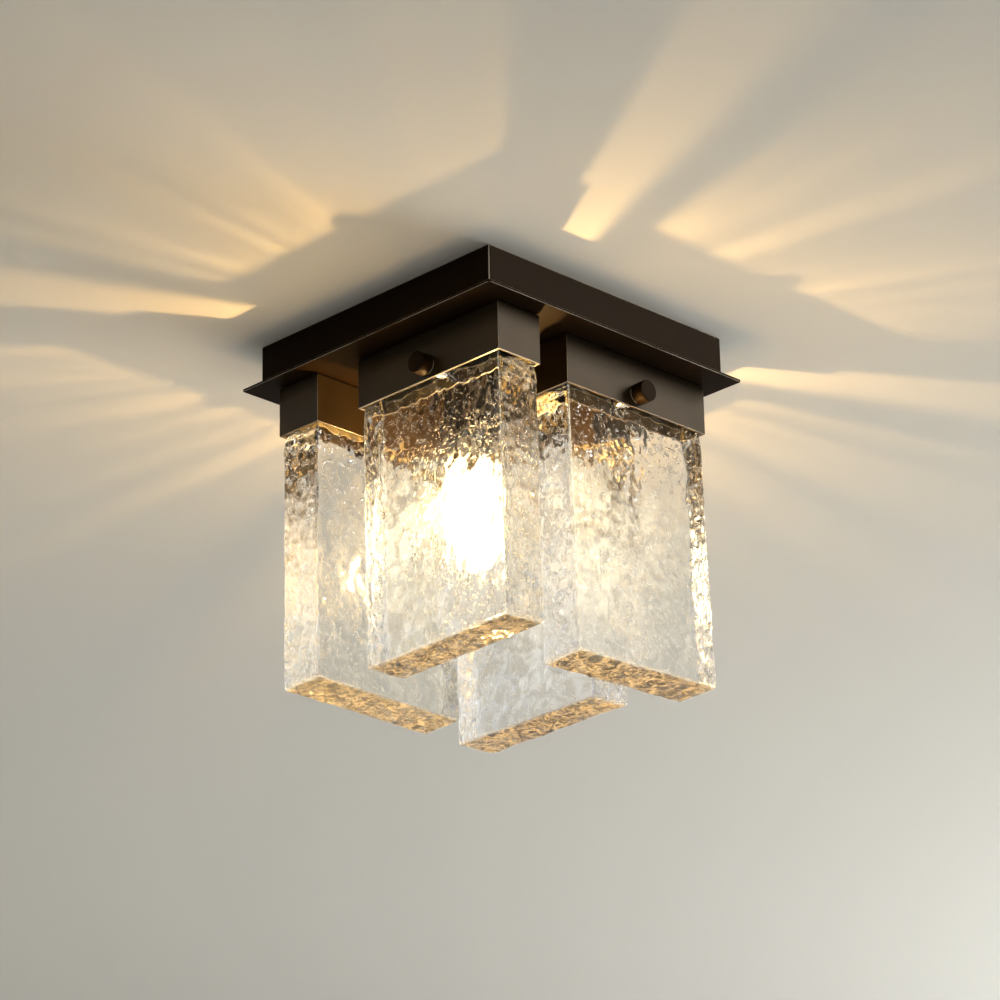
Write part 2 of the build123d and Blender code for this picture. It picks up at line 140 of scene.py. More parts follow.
# The glow starts to fade at this share of the globe's height, and at the neck this share is left.
GLOW_FADE = 0.6
NECK_GLOW = 0.45

# A strip in the middle of a bend is longer than this, and the two largest parts of its normal lie
# between these.
BEND_LENGTH = 15 * MM
BEND_LEAST = 0.55
BEND_MOST = 0.83
# Vertices closer than this are joined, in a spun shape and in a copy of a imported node.
SPUN_JOIN = 1e-6
COPY_JOIN = 2e-6
# Faces that turn by less than the first are one flat face. Edges of a spun shape that turn by more
# than the second, and edges of a sheet that turn by more than the third, are rounded.
FLAT_TURN = math.radians(0.5)
RING_TURN = math.radians(40)
SHEET_TURN = math.radians(60)
# Rounding of the sheets' cut edges and of the knobs' edges
PLATE_EDGE = 0.5 * MM
HOLDER_EDGE = 0.55 * MM
KNOB_EDGE = 0.5 * MM
# Edges that turn by less than this are shaded smooth.
SHEET_SHADE = math.radians(34)
GLOBE_SHADE = math.radians(50)
GLASS_SHADE = math.radians(80)

# Stage, in metres: side and height of the ceiling and the floor, and the point that lamps face
CEILING_SIDE = 9.0
CEILING_HEIGHT = 0.3 * MM
FLOOR_SIDE = 12.0
FLOOR_HEIGHT = -2.4
LAMP_AIM = Vector((0, 0, -0.1))

# Camera, measured from the photograph's corners
CAMERA_PLACE = Vector((-1.50656, -1.51150, -0.96422))
CAMERA_FORWARD = Vector((0.65498, 0.65502, 0.37676))
CAMERA_RIGHT = Vector((0.71218, -0.70176, -0.01804))
CAMERA_LENS = 147.9
CAMERA_SENSOR = 36.0


def linear(colour):
    """Turns an sRGB hex colour to linear red, green and blue."""
    parts = [int(colour[place : place + 2], 16) / 255 for place in (1, 3, 5)]
    return tuple(part / 12.92 if part <= 0.04045 else ((part + 0.055) / 1.055) ** 2.4 for part in parts)


def per_metre(millimetres):
    """Gives a texture's scale for a pattern that repeats about every so many millimetres."""
    return 1 / (millimetres * MM)


class GlassSettings(bpy.types.PropertyGroup):
    """Sizes and tint of the cast glass blocks"""

    cell: FloatProperty(
        name="Cell",
        description="Side of one cell of the glass skin",
        default=0.95 * MM,
        unit="LENGTH",
    )
    edge: FloatProperty(
        name="Edge",
        description="Radius of the fire-rounded edges",
        default=1.7 * MM,
        unit="LENGTH",
    )
    bulge: FloatProperty(
        name="Bulge",
        description="How far the ends swell out below the holder",
        default=1.4 * MM,
        unit="LENGTH",
    )
    swell_width: FloatProperty(
        name="Swell width",
        description="Width of the slow waves in the skin",
        default=36.0 * MM,
        unit="LENGTH",
    )
    swell_depth: FloatProperty(
        name="Swell depth",
        description="Depth of the slow waves in the skin",
        default=1.0 * MM,
        unit="LENGTH",
    )
    ripple_width: FloatProperty(
        name="Ripple width",
        description="Width of the ripples on the broad faces",
        default=13.0 * MM,
        unit="LENGTH",
    )
    ripple_depth: FloatProperty(
        name="Ripple depth",
        description="Depth of the ripples on the broad faces",
        default=0.55 * MM,
        unit="LENGTH",
    )
    dimple_width: FloatProperty(
        name="Dimple width",
        description="Width of the dimples on ends and foot",
        default=5.5 * MM,
        unit="LENGTH",
    )
    dimple_depth: FloatProperty(
        name="Dimple depth",
        description="Depth of the dimples on ends and foot",
        default=1.0 * MM,
        unit="LENGTH",
    )
    seed_count: IntProperty(
        name="Seeds",
        description="Air seeds in one block",
        default=36,
    )
    seed_radius: FloatProperty(
        name="Seed radius",
        description="Radius of the largest air seed",
        default=0.9 * MM,
        unit="LENGTH",
    )
    tint: FloatVectorProperty(
        name="Tint",
        description="Colour of clear glass",
        subtype="COLOR",
        default=linear("#fefdfa"),
    )


class FinishSettings(bpy.types.PropertyGroup):
    """Colours of the metal, the bulb and the fittings"""

    coat: FloatVectorProperty(
        name="Coat",
        description="Black-brown satin coat",
        subtype="COLOR",
        default=linear("#21180b"),
    )
    coat_worn: FloatVectorProperty(
        name="Coat, rubbed",
        description="Satin coat where it is rubbed",
        subtype="COLOR",
        default=linear("#2f2310"),
    )
    # The matt coat is darker than the satin coat: partly its own finish, partly painted shade.
    matt: FloatVectorProperty(
        name="Matt coat",
        description="Black-brown matt coat",
        subtype="COLOR",
        default=linear("#180f05"),
    )
    matt_worn: FloatVectorProperty(
        name="Matt coat, rubbed",
        description="Matt coat where it is rubbed",
        subtype="COLOR",
        default=linear("#221609"),
    )
    glow: FloatVectorProperty(
        name="Glow",
        description="Colour of the lit bulb",
        subtype="COLOR",
        default=linear("#ffdb99"),
    )
    # Bright bare steel where edges and bends are rubbed through; along them it is also a painted
    # highlight.
    edge_steel_highlight: FloatVectorProperty(
        name="Bare edge",
        description="Steel where edges are rubbed bare",
        subtype="COLOR",
        default=linear("#d9d2c4"),
    )
    filament: FloatVectorProperty(
        name="Filament colour",
        description="Colour of the bulb's light",
        subtype="COLOR",
        default=linear("#ffcb7c"),
    )
    glow_strength: FloatProperty(
        name="Glow strength",
        description="Strength of the lit bulb",
        default=13.0,
    )
    filament_power: FloatProperty(
        name="Filament",
        description="Power of the bulb",
        default=2.3,
        unit="POWER",
    )


class StageSettings(bpy.types.PropertyGroup):
    """Colours and lamps of the stage"""

    ceiling: FloatVectorProperty(
        name="Ceiling",
        description="Colour of the painted ceiling",
        subtype="COLOR",
        default=linear("#e6e5e1"),
    )
    floor: FloatVectorProperty(
        name="Floor",
        description="Colour of the pale floor",
        subtype="COLOR",
        default=linear("#dedbd4"),
    )
    surround: FloatVectorProperty(
        name="Surround",
        description="Colour of the light all round",
        subtype="COLOR",
        default=linear("#565758"),
    )
    seen_share: FloatProperty(
        name="Seen share",
        description="How far floor and surround are lifted for the eye alone",
        default=0.35,
    )
    key_power: FloatProperty(
        name="Key",
        description="Power of the soft lamp on the right",
        default=49.0,
        unit="POWER",
    )
    gloss_power: FloatProperty(
        name="Gloss",
        description="Power of the lamp over the right",
        default=29.0,
        unit="POWER",
    )
    wash_power: FloatProperty(
        name="Wash",
        description="Power of the lamp under the light",
        default=4.0,
        unit="POWER",
    )


def add(tree, kind, inputs=(), **settings):
    """Adds a node, sets its fields, and gives each named input a value or a link."""
    new = tree.nodes.new(kind)
    for field, value in settings.items():
        setattr(new, field, value)
    for key, value in dict(inputs).items():
        if isinstance(value, bpy.types.NodeSocket):
            tree.links.new(value, new.inputs[key])
        else:
            new.inputs[key].default_value = value
    return new


def finish_of(name, build):
    """Gives the named material, made by build on its first use."""
    material = bpy.data.materials.get(name)
    if material is None:
        material = bpy.data.materials.new(name)
        material.use_nodes = True
        tree = material.node_tree
        tree.nodes.clear()
        place = add(tree, "ShaderNodeTexCoord").outputs["Object"]
        shader = build(tree, place)
        add(tree, "ShaderNodeOutputMaterial", {"Surface": shader.outputs[0]})
    return material


def opaque(colour):
    """Gives a linear colour with full alpha."""
    return (colour[0], colour[1], colour[2], 1.0)


def powder_coat(dark, rubbed, shine, smooth, rough):
    """Gives a builder for a baked powder coat with an orange-peel grain, rubbed bare along its edges and
    bends, where the bright bare steel is partly wear and partly a painted highlight.
    """

    def build(tree, place):
        # The real grain is about 0.4 mm. It is drawn at 1.4 mm so that it shows.
        grain = add(tree, "ShaderNodeTexNoise", {"Vector": place, "Scale": per_metre(1.4), "Detail": 3.0})
        cloud = add(tree, "ShaderNodeTexNoise", {"Vector": place, "Scale": per_metre(22), "Detail": 4.0})
        tone = add(
            tree,
            "ShaderNodeMix",
            {0: cloud.outputs[0], 6: opaque(dark), 7: opaque(rubbed)},
            data_type="RGBA",
        )
        gloss = add(
            tree,
            "ShaderNodeMapRange",
            {
                "Value": cloud.outputs[0],
                "From Min": 0.3,
                "From Max": 0.7,
                "To Min": smooth,
                "To Max": rough,
            },
        )
        # Cut edges and bend strips turn to bright bare steel: partly wear, partly a painted highlight
        # along them.
        edge = add(tree, "ShaderNodeAttribute", attribute_name="worn_and_highlight").outputs["Fac"]
        chipped = add(
            tree,
            "ShaderNodeMapRange",
            {"Value": cloud.outputs[0], "From Min": 0.34, "From Max": 0.56, "To Min": 0.5, "To Max": 1.0},
        )
        bare_edge_highlight = add(tree, "ShaderNodeMath", {0: edge, 1: chipped.outputs[0]}, operation="MULTIPLY")
        steel = bpy.context.scene.light_finish.edge_steel_highlight
        tone = add(
            tree,
            "ShaderNodeMix",
            {0: bare_edge_highlight.outputs[0], 6: tone.outputs[2], 7: opaque(steel)},
            data_type="RGBA",
        )
        relief = add(
            tree, "ShaderNodeBump", {"Strength": 1.0, "Distance": 0.006 * MM, "Height": grain.outputs[0]}
        )
        return add(
            tree,
            "ShaderNodeBsdfPrincipled",
            {
                "Base Color": tone.outputs[2],
                "Metallic": bare_edge_highlight.outputs[0],
                "Roughness": gloss.outputs[0],
                "Specular IOR Level": shine,
                "Normal": relief.outputs[0],
            },
        )

    return build


# Powder-coated steel sheet, baked to a satin skin: nearly black with a brown cast, a soft broad
# shine, and slightly paler, duller patches where hands rub it.
def satin_powder_coat(tree, place):
    paint = bpy.context.scene.light_finish
    return powder_coat(paint.coat, paint.coat_worn, shine=0.26, smooth=0.32, rough=0.4)(tree, place)


# The same coat left matt, on the canopy, its plate, the lamp cup and the knobs: hardly any
# shine, and a darker colour that is painted shade on these parts.
def matt_coat_with_painted_shade(tree, place):
    paint = bpy.context.scene.light_finish
    return powder_coat(paint.matt, paint.matt_worn, shine=0.03, smooth=0.4, rough=0.48)(tree, place)


def glass_zones(tree, place):
    """Gives how far a point is in the hazy lower part of a block, and how thick the haze is there."""
    height = add(tree, "ShaderNodeSeparateXYZ", {"Vector": place}).outputs["Z"]
    lower = add(
        tree,
        "ShaderNodeMapRange",
        {"Value": height, "From Min": CLEAR_END, "From Max": HAZY_START, "To Min": 0.0, "To Max": 1.0},
        interpolation_type="SMOOTHSTEP",
    )
    thickness = add(
        tree,
        "ShaderNodeMapRange",
        {
            "Value": height,
            "From Min": HAZE_THIN,
            "From Max": HAZE_THICK,
            "To Min": THIN_HAZE,
            "To Max": THICK_HAZE,
        },
    )
    return lower.outputs[0], thickness.outputs[0]


def glass_skin(tree, place, lower):
    """Gives the normal of the chill-marked, flecked skin, and the roughness of its dull patches."""
    chill = add(
        tree,
        "ShaderNodeTexNoise",
        {"Vector": place, "Scale": per_metre(3), "Detail": 3.0, "Roughness": 0.55},
    )
    scale = add(
        tree,
        "ShaderNodeMapRange",
        {"Value": chill.outputs[0], "From Min": 0.595, "From Max": 0.655, "To Min": 0.0, "To Max": 1.0},
        interpolation_type="SMOOTHSTEP",
    )
    upper = add(tree, "ShaderNodeMath", {0: 1.0, 1: lower}, operation="SUBTRACT")
    mould = add(tree, "ShaderNodeTexNoise", {"Vector": place, "Scale": per_metre(24), "Detail": 3.0})
    marked = add(
        tree,
        "ShaderNodeMapRange",
        {"Value": mould.outputs[0], "From Min": 0.42, "From Max": 0.58, "To Min": 0.1, "To Max": 1.0},
        interpolation_type="SMOOTHSTEP",
    )
    marked = add(
        tree, "ShaderNodeMath", {0: marked.outputs[0], 1: upper.outputs[0]}, operation="MAXIMUM"
    )
    flecks = add(
        tree, "ShaderNodeMath", {0: scale.outputs[0], 1: marked.outputs[0]}, operation="MULTIPLY"
    )
    patchy = add(
        tree,
        "ShaderNodeMapRange",
        {"Value": mould.outputs[0], "From Min": 0.35, "From Max": 0.7, "To Min": 0.0, "To Max": 0.09},
    )
    dull = add(tree, "ShaderNodeMath", {0: patchy.outputs[0], 1: lower}, operation="MULTIPLY")
    calm = add(
        tree,
        "ShaderNodeMapRange",
        {"Value": lower, "From Min": 0.0, "From Max": 1.0, "To Min": 0.3, "To Max": 1.0},
    )
    pitted = add(tree, "ShaderNodeMath", {0: chill.outputs[0], 1: calm.outputs[0]}, operation="MULTIPLY")
    flecked = add(
        tree, "ShaderNodeBump", {"Strength": 1.0, "Distance": 0.45 * MM, "Height": flecks.outputs[0]}
    )
    relief = add(
        tree,
        "ShaderNodeBump",
        {
            "Strength": 1.0,
            "Distance": 0.11 * MM,
            "Height": pitted.outputs[0],
            "Normal": flecked.outputs[0],
        },
    )
    return relief.outputs[0], dull.outputs[0]


def glass_body(tree, broad, normal, roughness):
    """Gives the clear glass, with a trace of it that scatters light softly on the broad faces."""
    shared = {
        "Base Color": opaque(bpy.context.scene.light_glass.tint),
        "IOR": GLASS_IOR,
        "Specular Tint": GLASS_MIRROR,
        "Transmission Weight": 1.0,
        "Normal": normal,
    }
    clear = add(tree, "ShaderNodeBsdfPrincipled", {**shared, "Roughness": roughness})
    soft = add(tree, "ShaderNodeBsdfPrincipled", {**shared, "Roughness": 0.5})
    share = add(tree, "ShaderNodeMath", {0: broad, 1: 2.0}, operation="POWER")
    share = add(tree, "ShaderNodeMath", {0: share.outputs[0], 1: SOFT_SHARE}, operation="MULTIPLY")
    return add(
        tree, "ShaderNodeMixShader", {0: share.outputs[0], 1: clear.outputs[0], 2: soft.outputs[0]}
    )


def haze_share(tree, place, lower, thickness, foot, arris):
    """Gives the share of haze in the skin: cloudy below, dense at the foot, slight along the edges."""
    blotch = add(
        tree,
        "ShaderNodeTexNoise",
        {"Vector": place, "Scale": per_metre(12), "Detail": 6.0, "Roughness": 0.62, "Distortion": 1.4},
    )
    cloudy = add(
        tree,
        "ShaderNodeMapRange",
        {"Value": blotch.outputs[0], "From Min": 0.485, "From Max": 0.565, "To Min": 0.05, "To Max": 1.0},
    )
    haze = add(tree, "ShaderNodeMath", {0: lower, 1: cloudy.outputs[0]}, operation="MULTIPLY")
    haze = add(tree, "ShaderNodeMath", {0: haze.outputs[0], 1: thickness}, operation="MULTIPLY")
    hazed = add(
        tree, "ShaderNodeMath", {0: foot, 1: FOOT_HAZE, 2: haze.outputs[0]}, operation="MULTIPLY_ADD"
    )
    narrow = add(tree, "ShaderNodeMath", {0: arris, 1: 2.0}, operation="POWER")
    share = add(
        tree,
        "ShaderNodeMath",
        {0: narrow.outputs[0], 1: EDGE_HAZE, 2: hazed.outputs[0]},
        operation="MULTIPLY_ADD",
    )
    return share.outputs[0]


def glass_veil(tree, place, foot):
    """Gives the haze itself: pale in the block, and gritty brown and cream on the sawn foot."""
    grit = add(
        tree,
        "ShaderNodeTexNoise",
        {"Vector": place, "Scale": per_metre(5.5), "Detail": 7.0, "Roughness": 0.75, "Distortion": 1.2},
    )
    gritty = add(
        tree,
        "ShaderNodeMapRange",
        {"Value": grit.outputs[0], "From Min": 0.44, "From Max": 0.58, "To Min": 0.0, "To Max": 1.0},
    )
    sawn = add(
        tree,
        "ShaderNodeMix",
        {0: gritty.outputs[0], 6: opaque(linear("#1b160f")), 7: opaque(linear("#aba598"))},
        data_type="RGBA",
    )
    tone = add(
        tree,
        "ShaderNodeMix",
        {0: foot, 6: opaque(linear("#b4ceff")), 7: sawn.outputs[2]},
        data_type="RGBA",
    )
    through = add(tree, "ShaderNodeBsdfTranslucent", {"Color": tone.outputs[2]})
    back = add(tree, "ShaderNodeBsdfDiffuse", {"Color": tone.outputs[2]})
    return add(tree, "ShaderNodeMixShader", {0: HAZE_BACK, 1: through.outputs[0], 2: back.outputs[0]})


def glass_window(tree, place, broad):
    """Gives the glass as lamps see it: a window with soft upright streaks, dark at the ends."""
    upright = add(tree, "ShaderNodeVectorMath", {0: place, 1: (1.0, 1.0, 0.05)}, operation="MULTIPLY")
    streak = add(
        tree, "ShaderNodeTexNoise", {"Vector": upright.outputs[0], "Scale": per_metre(5.5), "Detail": 3.0}
    )
    passed = add(
        tree,
        "ShaderNodeMapRange",
        {"Value": streak.outputs[0], "From Min": 0.4, "From Max": 0.58, "To Min": 0.5, "To Max": 1.0},
    )
    passed = add(tree, "ShaderNodeMath", {0: passed.outputs[0], 1: broad}, operation="MULTIPLY")
    beam = add(
        tree,
        "ShaderNodeMix",
        {0: passed.outputs[0], 6: (0.0, 0.0, 0.0, 1.0), 7: opaque(linear("#fffdf4"))},
        data_type="RGBA",
    )
    return add(tree, "ShaderNodeBsdfTransparent", {"Color": beam.outputs[2]})


# Soda-lime glass cast in an open mould: water clear and thick, with a fine chill-marked skin that
# breaks up what is seen through it and catches a little of the bulb's light, and a sawn foot
# that glows with the light that comes down the block. Lamps shine through it in soft streaks,
# as light does through rippled glass.
def cast_clear_glass(tree, place):
    broad = add(tree, "ShaderNodeAttribute", attribute_name="broad").outputs["Fac"]
    foot = add(tree, "ShaderNodeAttribute", attribute_name="foot").outputs["Fac"]
    arris = add(tree, "ShaderNodeAttribute", attribute_name="arris").outputs["Fac"]
    lower, thickness = glass_zones(tree, place)
    normal, roughness = glass_skin(tree, place, lower)
    body = glass_body(tree, broad, normal, roughness)
    share = haze_share(tree, place, lower, thickness, foot, arris)
    veil = glass_veil(tree, place, foot)
    skin = add(tree, "ShaderNodeMixShader", {0: share, 1: body.outputs[0], 2: veil.outputs[0]})
    window = glass_window(tree, place, broad)
    path = add(tree, "ShaderNodeLightPath")
    return add(
        tree,
        "ShaderNodeMixShader",
        {0: path.outputs["Is Shadow Ray"], 1: skin.outputs[0], 2: window.outputs[0]},
    )


# Blown opal glass over a lit lamp: an even warm glow, a little weaker towards the neck.
def lit_opal_glass(tree, place):
    bulb = bpy.context.scene.light_finish
    low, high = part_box("bulb_globe")
    height = add(tree, "ShaderNodeSeparateXYZ", {"Vector": place})
    fade = add(
        tree,
        "ShaderNodeMapRange",
        {
            "Value": height.outputs["Z"],
            "From Min": low.z + GLOW_FADE * (high.z - low.z),
            "From Max": high.z,
            "To Min": bulb.glow_strength,
            "To Max": NECK_GLOW * bulb.glow_strength,
        },
    )
    return add(
        tree,
        "ShaderNodeBsdfPrincipled",
        {
            "Base Color": opaque(linear("#f4efe2")),
            "Roughness": 0.3,
            "Emission Color": opaque(bulb.glow),
            "Emission Strength": fade.outputs[0],
        },
    )


def moulded(colour, paler, roughness, grain_mm):
    """Gives a builder for a moulded plastic or rubber with a fine grain and a slightly uneven tone."""

    def build(tree, place):
        grain = add(
            tree, "ShaderNodeTexNoise", {"Vector": place, "Scale": per_metre(grain_mm), "Detail": 2.0}
        )
        cloud = add(tree, "ShaderNodeTexNoise", {"Vector": place, "Scale": per_metre(9), "Detail": 2.0})
        tone = add(
            tree,
            "ShaderNodeMix",
            {0: cloud.outputs[0], 6: opaque(linear(colour)), 7: opaque(linear(paler))},
            data_type="RGBA",
        )
        relief = add(
            tree, "ShaderNodeBump", {"Strength": 1.0, "Distance": 0.012 * MM, "Height": grain.outputs[0]}
        )
        return add(
            tree,
            "ShaderNodeBsdfPrincipled",
            {"Base Color": tone.outputs[2], "Roughness": roughness, "Normal": relief.outputs[0]},
        )

    return build


def bare_metal(colour, paler, smooth, rough):
    """Gives a builder for a plated or bare metal with a cloudy shine."""

    def build(tree, place):
        cloud = add(tree, "ShaderNodeTexNoise", {"Vector": place, "Scale": per_metre(5), "Detail": 4.0})
        tone = add(
            tree,
            "ShaderNodeMix",
            {0: cloud.outputs[0], 6: opaque(linear(colour)), 7: opaque(linear(paler))},
            data_type="RGBA",
        )
        shine = add(
            tree,
            "ShaderNodeMapRange",
            {
                "Value": cloud.outputs[0],
                "From Min": 0.3,
                "From Max": 0.7,
                "To Min": smooth,
                "To Max": rough,
            },
        )
        return add(
            tree,
            "ShaderNodeBsdfPrincipled",
            {"Base Color": tone.outputs[2], "Metallic": 1.0, "Roughness": shine.outputs[0]},
        )

    return build


# Each finish by name, with what it gives the eye.
FINISHES = {
    "satin_powder_coat": satin_powder_coat,
    "matt_coat_with_painted_shade": matt_coat_with_painted_shade,
    "cast_clear_glass": cast_clear_glass,
    "lit_opal_glass": lit_opal_glass,
    # Cut silicone sheet: cream and matt.
    "natural_silicone": moulded("#a9a290", "#bab3a2", roughness=0.45, grain_mm=0.8),
    # Cut silicone tube: milky and matt.
    "milky_silicone": moulded("#d9d5c8", "#e6e2d6", roughness=0.4, grain_mm=0.8),
    # Moulded natural nylon: creamy white with a slight shine.
    "natural_nylon": moulded("#d8d2c0", "#e2ddce", roughness=0.42, grain_mm=0.9),
    # Steel with a zinc plating: pale blue-grey, cloudy and half bright.
    "zinc_plated_steel": bare_metal("#a9adb0", "#c2c5c6", smooth=0.24, rough=0.4),
    # Turned and pressed brass, left bare: warm yellow with duller patches.
    "bare_brass": bare_metal("#b8924a", "#cba85f", smooth=0.2, rough=0.38),
    # Nickel plating on pressed brass: bright, faintly warm.
    "nickel_plate": bare_metal("#b5b0a6", "#c8c4bb", smooth=0.14, rough=0.26),
    # Pressed phenolic: black with a dull shine.
    "black_phenolic": moulded("#15130f", "#1f1c17", roughness=0.38, grain_mm=0.9),
    # Moulded polyamide and polycarbonate: clean white with a low shine.
    "white_polyamide": moulded("#dcdad3", "#e8e6e0", roughness=0.45, grain_mm=0.8),
    # Black glass fused into the foot of the cap: glossy.
    "fused_black_glass": moulded("#0d0c0c", "#141313", roughness=0.12, grain_mm=2.0),
    # Extruded PVC skin of a wire: smooth, with a low shine.
    "brown_pvc": moulded("#4f2f1d", "#5a3723", roughness=0.36, grain_mm=1.2),
    "blue_pvc": moulded("#1f4f8e", "#285b9c", roughness=0.36, grain_mm=1.2),
    "green_pvc": moulded("#3c7a2f", "#6d8f2b", roughness=0.36, grain_mm=1.2),
}

# Which finish each slot of the record has
SLOT_FINISHES = {
    "black_metal": "satin_powder_coat",
    "cast_glass": "cast_clear_glass",
    "silicone": "natural_silicone",
    "nylon": "natural_nylon",
    "zinc_steel": "zinc_plated_steel",
    "brass": "bare_brass",
    "nickel": "nickel_plate",
    "socket_plastic": "black_phenolic",
    "white_plastic": "white_polyamide",
    "insulator_glass": "fused_black_glass",
    "opal_glass": "lit_opal_glass",
    "lead_brown": "brown_pvc",
    "lead_blue": "blue_pvc",
    "lead_green": "green_pvc",
}


def finish(name):
    """Gives the named finish of this light."""
    return finish_of(name, FINISHES[name])


def body_of(node):
    """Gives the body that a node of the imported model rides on."""
    return frame["nodes"][node]["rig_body"]


def new_piece(name, mesh, finish_name, slot, *nodes):
    """Puts a finished mesh in the scene, in place of the named nodes and on their body."""
    mesh.materials.append(finish(finish_name))
    piece = bpy.data.objects.new(name, mesh)
    bpy.context.scene.collection.objects.link(piece)
    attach(piece, body_of(nodes[0]))
    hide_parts(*nodes)
    return piece


def mesh_from(bm, name, sharp_angle):
    """Turns a bmesh to a smooth mesh whose edges past an angle stay sharp, and frees the bmesh."""
    for face in bm.faces:
        face.smooth = True
    for edge in bm.edges:
        edge.smooth = len(edge.link_faces) == 2 and edge.calc_face_angle(0.0) < sharp_angle
    mesh = bpy.data.meshes.new(name)
    bm.to_mesh(mesh)
    bm.free()
    return mesh


def spun(outline, round_width=0.0, steps=72):
    """Spins an outline of (radius, height) points about Z, closes it, and rounds its sharp rings."""
    bm = bmesh.new()
    points = [bm.verts.new((radius, 0.0, height)) for radius, height in outline]
    edges = [bm.edges.new(pair) for pair in zip(points, points[1:])]
    bmesh.ops.spin(
        bm,
        geom=points + edges,
        cent=(0, 0, 0),
        axis=(0, 0, 1),
        angle=math.tau,
        steps=steps,
        use_merge=True,
    )
    bmesh.ops.remove_doubles(bm, verts=bm.verts, dist=SPUN_JOIN)
    bmesh.ops.recalc_face_normals(bm, faces=bm.faces)
    if round_width:
        rings = [edge for edge in bm.edges if edge.calc_face_angle(0.0) > RING_TURN]
        bmesh.ops.bevel(
            bm,
            geom=rings,
            offset=round_width,
            offset_type="OFFSET",
            segments=3,
            profile=0.5,
            affect="EDGES",
            material=-1,
        )
    return bm


def folded(face):
    """Tells whether a face is a long strip in the middle of a bend."""
    largest, second, _ = sorted((abs(part) for part in face.normal), reverse=True)
    longest = max(edge.calc_length() for edge in face.edges)
    return largest < BEND_MOST and second > BEND_LEAST and longest > BEND_LENGTH


def smooth_copy(node, finish_name, round_width=0.0):
    """Copies a node's mesh, joins its triangles, rounds its sharp edges and shades its bends smooth."""
    bm = bmesh.new()
    bm.from_mesh(frame["nodes"][node].data)
    bmesh.ops.remove_doubles(bm, verts=bm.verts, dist=COPY_JOIN)
    if round_width:
        worn_and_highlight = bm.faces.layers.float.new("worn_and_highlight")
        bmesh.ops.dissolve_limit(bm, angle_limit=FLAT_TURN, verts=bm.verts, edges=bm.edges)
        sharp = [edge for edge in bm.edges if edge.calc_face_angle(0.0) > SHEET_TURN]
        rounded = bmesh.ops.bevel(
            bm,
            geom=sharp,
            offset=round_width,
            offset_type="OFFSET",
            segments=3,
            profile=0.5,
            affect="EDGES",
            material=-1,
            clamp_overlap=True,
        )
        # The rounded cut edges and the middle strips of bends are marked as rubbed bare steel, partly wear
        # and partly a painted highlight.
        for face in [*rounded["faces"], *filter(folded, bm.faces)]:
            face[worn_and_highlight] = 1.0
    mesh = mesh_from(bm, node, SHEET_SHADE)
    piece = new_piece(f"smooth_{node}", mesh, finish_name, node_slots[node], node)
    even = piece.modifiers.new("even shading", "WEIGHTED_NORMAL")
    even.keep_sharp = True
    return piece


class LIGHT_OT_sheet_metal(bpy.types.Operator):
    """Shades the canopy, the plate and the folded holders as smooth coated sheet"""

    bl_idname = "ceiling_light.sheet_metal"
    bl_label = "Sheet metal"

    def execute(self, context):
        # The canopy, the plate and the lamp cup take the matt coat, whose darker colour is painted shade.
        for node in ("canopy_pan", "base_plate", "lamp_cup"):
            smooth_copy(node, "matt_coat_with_painted_shade", PLATE_EDGE)
        for side in SIDES:
            smooth_copy(f"glass_holder_{side}", "satin_powder_coat", HOLDER_EDGE)
        return {"FINISHED"}


def along(edge, axis):
    """Tells whether an edge lies along an axis."""
    return abs(edge.verts[0].co[axis] - edge.verts[1].co[axis]) > 0.5 * edge.calc_length()


def lattice_block(low, high, cell):
    """Makes a box whose faces are cut to a lattice of near-square cells."""
    bm = bmesh.new()
    size = high - low
    bmesh.ops.create_cube(bm, size=1.0)
    bmesh.ops.scale(bm, vec=size, verts=bm.verts)
    bmesh.ops.translate(bm, vec=(low + high) / 2, verts=bm.verts)
    for axis in range(3):
        cuts = max(1, round(size[axis] / cell) - 1)
        edges = [edge for edge in bm.edges if along(edge, axis)]
        bmesh.ops.subdivide_edges(bm, edges=edges, cuts=cuts, use_grid_fill=True)
    return bm


def pierce(bm, centre, axis, radius):
    """Opens a round hole through the block along an axis, with a wall between its two mouths."""

    def offset(place):
        gap = place - centre
        gap[axis] = 0.0
        return gap

    cut = [
        face
        for face in bm.faces
        if abs(face.normal[axis]) > LIES_ACROSS and offset(face.calc_center_median()).length < radius
    ]
    bmesh.ops.delete(bm, geom=cut, context="FACES")
    rim = [edge for edge in bm.edges if edge.is_boundary]
    for vert in {vert for edge in rim for vert in edge.verts}:
        gap = offset(vert.co)
        vert.co += gap * (radius / gap.length - 1)
    bmesh.ops.bridge_loops(bm, edges=rim)


